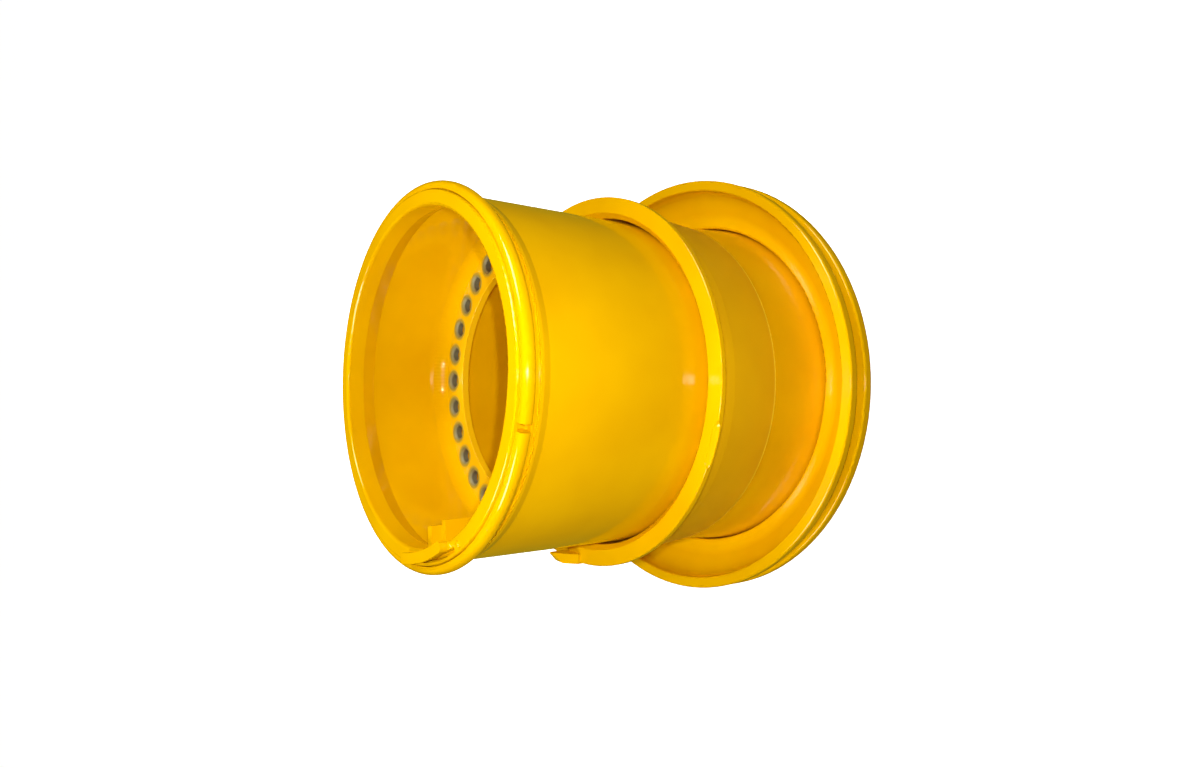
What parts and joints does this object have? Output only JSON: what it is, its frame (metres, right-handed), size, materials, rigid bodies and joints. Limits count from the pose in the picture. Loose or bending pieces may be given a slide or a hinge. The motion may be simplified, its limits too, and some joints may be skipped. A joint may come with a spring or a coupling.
{
  "type": "wheel rim",
  "caption": "Multi-piece earthmover wheel rim: welded base with a bolt-on mounting disc, split lock ring, bevelled bead seat band and nested side flanges.",
  "frame": {"origin": "centre of the mounting disc's hub face, on the wheel axis", "axes": "+Z along the wheel axis towards the gutter (outboard) end, with the rim standing on its inboard end; -Y towards the side with the lock ring's split, -X towards the driver"},
  "size_m": [0.8128, 0.8128, 0.752],
  "materials": {
    "rim_paint": "gloss",
    "disc_paint": "gloss"
  },
  "bodies": {
    "root": {"gutter_section": "rim_paint", "outboard_band": "rim_paint", "inboard_band": "rim_paint", "back_section": "rim_paint", "mounting_disc": "disc_paint", "front_disc_weld": "rim_paint", "back_disc_weld": "rim_paint", "pocket_front_plate": "rim_paint", "pocket_back_plate": "rim_paint", "driver_key": "rim_paint", "inboard_flange": "rim_paint", "outboard_flange": "rim_paint", "bead_seat_band": "rim_paint", "band_driver_lug": "rim_paint", "lock_ring": "rim_paint"}
  },
  "joints": []
}
